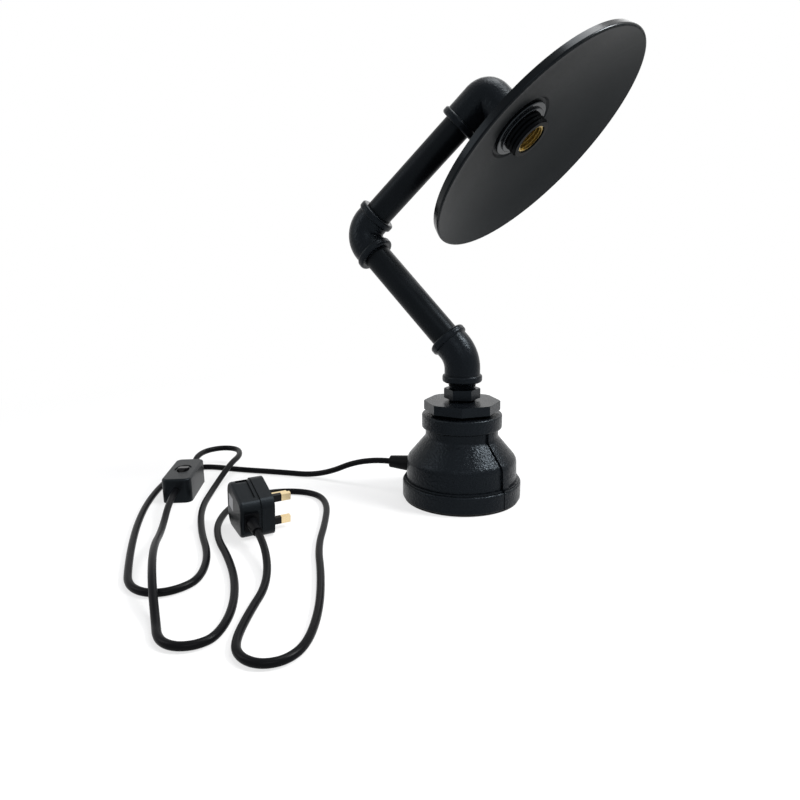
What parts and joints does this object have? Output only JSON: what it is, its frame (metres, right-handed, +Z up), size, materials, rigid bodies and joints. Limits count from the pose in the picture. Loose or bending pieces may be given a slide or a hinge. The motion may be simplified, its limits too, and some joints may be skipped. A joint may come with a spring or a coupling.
{
  "type": "industrial pipe table lamp",
  "caption": "Table lamp of screwed pipe fittings on a bell-shaped cast base, with a wide dished shade on a screw-cap holder, an in-line rocker switch and a three-pin plug.",
  "frame": {"origin": "centre of the foot disc, on the surface the lamp stands on", "axes": "+Z up along the base's axis; the front is towards -Y and the cord leaves towards -X"},
  "size_m": [0.4653, 0.4048, 0.4084],
  "materials": {
    "painted_iron": "satin black paint over fine cast grain",
    "painted_steel": "satin black paint",
    "shade_paint": "satin charcoal black",
    "holder_black": "gloss black",
    "ceramic_white": "unglazed",
    "brass_contact": "plain",
    "plated_steel": "zinc plated",
    "foot_rubber": "matt",
    "cord_black": "smooth, slightly glossy",
    "core_insulation": "smooth",
    "case_black": "fine satin",
    "rocker_black": "smooth",
    "plate_grey": "blank, light grey",
    "fuse_ceramic": "plain"
  },
  "bodies": {
    "base": {"base_pad": "foot_rubber", "base_reducer": "painted_iron", "octagon_bushing": "painted_iron", "hex_nipple": "painted_iron", "base_cord_grip": "case_black", "base_grip_nut": "plated_steel", "earth_lug": "plated_steel", "earth_screw": "plated_steel", "earth_core": "core_insulation", "base_wiring": "cord_black", "cord_lamp_to_switch": "cord_black", "cord_switch_to_plug": "cord_black", "switch_base": "case_black", "switch_cover": "case_black", "switch_pivot_contact": "brass_contact", "switch_fixed_contact": "brass_contact", "switch_terminal_screws": "plated_steel", "switch_case_screws": "plated_steel", "switch_cord_ends": "cord_black", "switch_cores": "core_insulation", "plug_front": "case_black", "plug_cover": "case_black", "plug_label_plate": "plate_grey", "plug_boot": "cord_black", "plug_earth_pin": "brass_contact", "plug_live_pin": "brass_contact", "plug_neutral_pin": "brass_contact", "plug_pin_sleeves": "case_black", "plug_fuse": "fuse_ceramic", "plug_fuse_clips": "plated_steel", "plug_fuse_carrier": "case_black", "plug_terminal_screws": "plated_steel", "plug_cord_grip": "case_black", "plug_cord_end": "cord_black", "plug_cores": "core_insulation", "plug_cover_screw": "plated_steel"},
    "lower_arm": {"lower_elbow_45": "painted_iron", "lower_pipe": "painted_steel", "lower_arm_wiring": "cord_black"},
    "upper_arm": {"middle_elbow_90": "painted_iron", "upper_pipe": "painted_steel", "upper_arm_wiring": "cord_black"},
    "head": {"top_elbow_90": "painted_iron", "head_wiring": "cord_black", "holder_adaptor": "painted_steel", "holder_cap": "holder_black", "holder_body": "holder_black", "holder_core": "ceramic_white", "screw_shell": "brass_contact", "centre_contact": "brass_contact", "holder_terminals": "brass_contact", "holder_terminal_screws": "plated_steel", "holder_cores": "core_insulation", "shade_ring": "holder_black", "shade": "shade_paint"},
    "rocker": {"switch_rocker": "rocker_black"},
    "seesaw": {"switch_seesaw": "brass_contact"}
  },
  "joints": [
    {"name": "base_swivel", "type": "hinge", "parent": "base", "child": "lower_arm", "pos_m": [0, 0, 0.1142], "axis": [0, 0, 1], "range_deg": [-90, 90]},
    {"name": "arm_swivel", "type": "hinge", "parent": "lower_arm", "child": "upper_arm", "pos_m": [-0.10298, 0.04736, 0.25205], "axis": [-0.6424, 0.2955, 0.7071], "range_deg": [-75, 75]},
    {"name": "head_swivel", "type": "hinge", "parent": "upper_arm", "child": "head", "pos_m": [0.0198, 0.02417, 0.37329], "axis": [0.7052, -0.1332, 0.6964], "range_deg": [-90, 90]},
    {"name": "rocker_tilt", "type": "hinge", "parent": "base", "child": "rocker", "pos_m": [-0.28, -0.008, 0.019], "axis": [0.9848, 0.1736, 0], "range_deg": [0, 16]},
    {"name": "seesaw_tilt", "type": "hinge", "parent": "base", "child": "seesaw", "pos_m": [-0.28, -0.008, 0.0075], "axis": [0.9848, 0.1736, 0], "range_deg": [-10, 0]}
  ],
  "couplings": [
    {"joint": "seesaw_tilt", "follows": "rocker_tilt", "ratio": -0.625}
  ]
}
